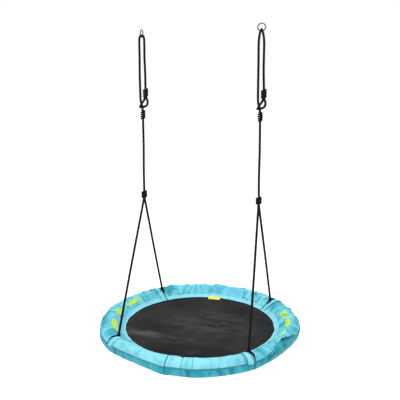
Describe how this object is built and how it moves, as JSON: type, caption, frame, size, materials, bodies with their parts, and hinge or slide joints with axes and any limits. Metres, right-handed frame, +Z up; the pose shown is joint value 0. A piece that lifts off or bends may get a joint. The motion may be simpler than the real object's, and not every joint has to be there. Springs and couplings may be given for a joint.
{
  "type": "saucer nest swing",
  "caption": "Round saucer nest swing: woven mat in a padded cover over a steel rim, hung by V ropes, noosed drop ropes and steel rings.",
  "frame": {"origin": "midpoint of the line between the two ring hooks, where each hanging rope turns about its ring", "axes": "+X from the left ring to the right ring, +Y to the back, +Z up; the seat hangs below the origin"},
  "size_m": [0.9998, 1, 1.5015],
  "materials": {
    "ring_steel": "satin",
    "tube_steel": "satin",
    "bolt_steel": "satin",
    "rope": "matte",
    "foam": "matte",
    "mat_weave": "matte",
    "cover_fabric": "satin",
    "side_fabric": "satin",
    "underside_fabric": "matte",
    "flap_fabric": "satin",
    "label_fabric": "matte"
  },
  "bodies": {
    "rings": {"left_ring": "ring_steel", "right_ring": "ring_steel"},
    "right_bight": {"right_rope_bight": "rope"},
    "left_rope": {"left_drop_rope": "rope", "left_lock_hitch": "rope", "left_noose_eye": "rope", "left_noose_knot": "rope", "left_rope_bight": "rope", "left_running_strand": "rope", "left_standing_strand": "rope"},
    "right_rope": {"right_drop_rope": "rope", "right_lock_hitch": "rope", "right_noose_eye": "rope", "right_noose_knot": "rope", "right_running_strand": "rope", "right_standing_strand": "rope"},
    "v_knots": {"left_v_knot": "rope", "right_v_knot": "rope"},
    "seat": {"back_foam_sleeve": "foam", "back_joint_bolt": "bolt_steel", "back_joint_nut": "bolt_steel", "back_left_frame_tube": "tube_steel", "back_left_leg_rope": "rope", "back_left_slit_flap": "flap_fabric", "back_left_tube_loop": "rope", "back_right_frame_tube": "tube_steel", "back_right_leg_rope": "rope", "back_right_slit_flap": "flap_fabric", "back_right_tube_loop": "rope", "cover_side_back": "side_fabric", "cover_side_front": "side_fabric", "cover_side_left": "side_fabric", "cover_side_right": "side_fabric", "cover_top_back": "cover_fabric", "cover_top_front": "cover_fabric", "cover_top_left": "cover_fabric", "cover_top_right": "cover_fabric", "cover_underside": "underside_fabric", "front_foam_sleeve": "foam", "front_joint_bolt": "bolt_steel", "front_joint_nut": "bolt_steel", "front_left_frame_tube": "tube_steel", "front_left_leg_rope": "rope", "front_left_slit_flap": "flap_fabric", "front_left_tube_loop": "rope", "front_right_frame_tube": "tube_steel", "front_right_leg_rope": "rope", "front_right_slit_flap": "flap_fabric", "front_right_tube_loop": "rope", "label_tab": "label_fabric", "left_foam_sleeve": "foam", "left_joint_bolt": "bolt_steel", "left_joint_nut": "bolt_steel", "right_foam_sleeve": "foam", "right_joint_bolt": "bolt_steel", "right_joint_nut": "bolt_steel", "seat_mat": "mat_weave"}
  },
  "joints": [
    {"name": "swing", "type": "hinge", "parent": "rings", "child": "right_bight", "pos_m": [0.288, 0, 0], "axis": [1, 0, 0], "range_deg": [-50, 50]},
    {"name": "sway", "type": "hinge", "parent": "right_bight", "child": "left_rope", "pos_m": [-0.288, 0, -0.0175], "axis": [0, 1, 0], "range_deg": [-15, 15]},
    {"name": "right_sway", "type": "hinge", "parent": "right_bight", "child": "right_rope", "pos_m": [0.288, 0, -0.0175], "axis": [0, 1, 0], "range_deg": [-15, 15]},
    {"name": "level", "type": "hinge", "parent": "left_rope", "child": "v_knots", "pos_m": [-0.288, 0, -0.76], "axis": [0, 1, 0], "range_deg": [-15, 15]},
    {"name": "pitch", "type": "hinge", "parent": "v_knots", "child": "seat", "pos_m": [0, 0, -0.792], "axis": [1, 0, 0], "range_deg": [-25, 25]}
  ],
  "couplings": [
    {"joint": "right_sway", "follows": "sway", "ratio": 1},
    {"joint": "level", "follows": "sway", "ratio": -1}
  ]
}
